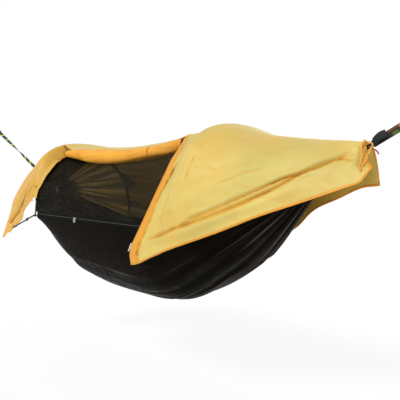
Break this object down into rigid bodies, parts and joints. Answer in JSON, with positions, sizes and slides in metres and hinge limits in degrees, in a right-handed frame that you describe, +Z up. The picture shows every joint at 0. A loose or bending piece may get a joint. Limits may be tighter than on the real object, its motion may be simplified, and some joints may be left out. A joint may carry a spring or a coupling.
{
  "type": "hammock tent",
  "caption": "Camping hammock with a gathered black bed, a zipped insect net on two arched poles and a yellow rain fly with a rolled-up door, hung by two tree straps.",
  "frame": {"origin": "midway between the two arched poles, on the straight line through the two gathered ends that the straps pull along", "axes": "+X along the bed towards the end with the closed fly, -Y towards the side with the doors, +Z up"},
  "size_m": [4.1803, 0.7522, 1.223],
  "materials": {
    "black_nylon": "tightly woven black nylon with a soft sheen",
    "black_mesh": "fine black insect mesh that lets light through",
    "yellow_ripstop": "thin yellow ripstop nylon that glows where light comes through it",
    "orange_tape": "orange hem tape and cord",
    "black_tape": "woven black zip tape",
    "black_webbing": "coarse flat webbing",
    "black_cord": "braided black cord",
    "pole_glass_fibre": "smooth black glass fibre",
    "bare_aluminium": "satin bare metal",
    "grey_steel": "grey plated metal",
    "white_pull": "white moulded plastic",
    "black_plastic": "black moulded plastic"
  },
  "bodies": {
    "tent": {"door_zip_tape": "orange_tape", "fly_corner_loop": "black_webbing", "hammock_bed": "black_nylon", "left_carabiner_body": "bare_aluminium", "left_fly_tie": "orange_tape", "left_gate_pin": "grey_steel", "left_gather_wrap": "black_cord", "left_pole_cord": "black_cord", "left_pole_far_ferrule": "bare_aluminium", "left_pole_far_pocket": "black_webbing", "left_pole_far_tip": "black_plastic", "left_pole_far_tube": "pole_glass_fibre", "left_pole_near_ferrule": "bare_aluminium", "left_pole_near_pocket": "black_webbing", "left_pole_near_tip": "black_plastic", "left_pole_near_tube": "pole_glass_fibre", "left_pole_sleeve": "black_nylon", "left_pole_top_tube": "pole_glass_fibre", "left_suspension_rope": "black_cord", "left_tree_strap": "black_webbing", "mosquito_net": "black_mesh", "net_zip_lower_tape": "black_tape", "net_zip_upper_tape": "black_tape", "rain_fly": "yellow_ripstop", "right_carabiner_body": "bare_aluminium", "right_fly_tie": "orange_tape", "right_gate_pin": "grey_steel", "right_gather_wrap": "black_cord", "right_pole_cord": "black_cord", "right_pole_far_ferrule": "bare_aluminium", "right_pole_far_pocket": "black_webbing", "right_pole_far_tip": "black_plastic", "right_pole_far_tube": "pole_glass_fibre", "right_pole_near_ferrule": "bare_aluminium", "right_pole_near_pocket": "black_webbing", "right_pole_near_tip": "black_plastic", "right_pole_near_tube": "pole_glass_fibre", "right_pole_sleeve": "black_nylon", "right_pole_top_tube": "pole_glass_fibre", "right_suspension_rope": "black_cord", "right_tree_strap": "black_webbing", "roll_tie_left": "orange_tape", "roll_tie_right": "orange_tape", "rolled_door": "yellow_ripstop", "tie_out_tab": "black_webbing", "tie_out_webbing": "black_webbing"},
    "left_carabiner_gate": {"left_carabiner_gate": "grey_steel"},
    "right_carabiner_gate": {"right_carabiner_gate": "grey_steel"},
    "net_zip_left_slider": {"net_zip_left_slider": "grey_steel"},
    "net_zip_left_pull": {"net_zip_left_pull": "white_pull"},
    "net_zip_right_slider": {"net_zip_right_slider": "grey_steel"},
    "net_zip_right_pull": {"net_zip_right_pull": "white_pull"},
    "door_zip_slider": {"door_zip_slider": "grey_steel"},
    "door_zip_pull": {"door_zip_pull": "white_pull"},
    "tie_out_lock": {"tie_out_lock": "black_plastic"}
  },
  "joints": [
    {"name": "net_zip_left_slide", "type": "slide", "parent": "tent", "child": "net_zip_left_slider", "axis": [0.9988, 0, -0.0481], "range_m": [-0.475, 0]},
    {"name": "net_zip_right_slide", "type": "slide", "parent": "tent", "child": "net_zip_right_slider", "axis": [0.9988, 0, -0.0481], "range_m": [0, 0.45]},
    {"name": "net_zip_left_pull_swing", "type": "hinge", "parent": "net_zip_left_slider", "child": "net_zip_left_pull", "pos_m": [-0.223, -0.3409, -0.21507], "axis": [0, -1, 0], "range_deg": [-80, 0]},
    {"name": "net_zip_right_pull_swing", "type": "hinge", "parent": "net_zip_right_slider", "child": "net_zip_right_pull", "pos_m": [-0.207, -0.3409, -0.21583], "axis": [0, -1, 0], "range_deg": [0, 80]},
    {"name": "door_zip_slide", "type": "slide", "parent": "tent", "child": "door_zip_slider", "axis": [0.4523, 0.1536, 0.8786], "range_m": [0, 0.345]},
    {"name": "door_zip_pull_swing", "type": "hinge", "parent": "door_zip_slider", "child": "door_zip_pull", "pos_m": [0.41562, -0.36746, -0.32838], "axis": [-0.3238, -0.8896, 0.3222], "range_deg": [-70, 70]},
    {"name": "left_gate_swing", "type": "hinge", "parent": "tent", "child": "left_carabiner_gate", "pos_m": [-1.25291, 0, 0.04593], "axis": [0, -1, 0], "range_deg": [0, 25], "stiffness_Nm_per_rad": 0.2, "springref_deg": -5.73},
    {"name": "right_gate_swing", "type": "hinge", "parent": "tent", "child": "right_carabiner_gate", "pos_m": [1.31291, 0, 0.04593], "axis": [0, 1, 0], "range_deg": [0, 25], "stiffness_Nm_per_rad": 0.2, "springref_deg": -5.73},
    {"name": "tie_out_lock_slide", "type": "slide", "parent": "tent", "child": "tie_out_lock", "axis": [-0.9778, 0.0591, -0.2009], "range_m": [-0.123, 0.267]}
  ]
}
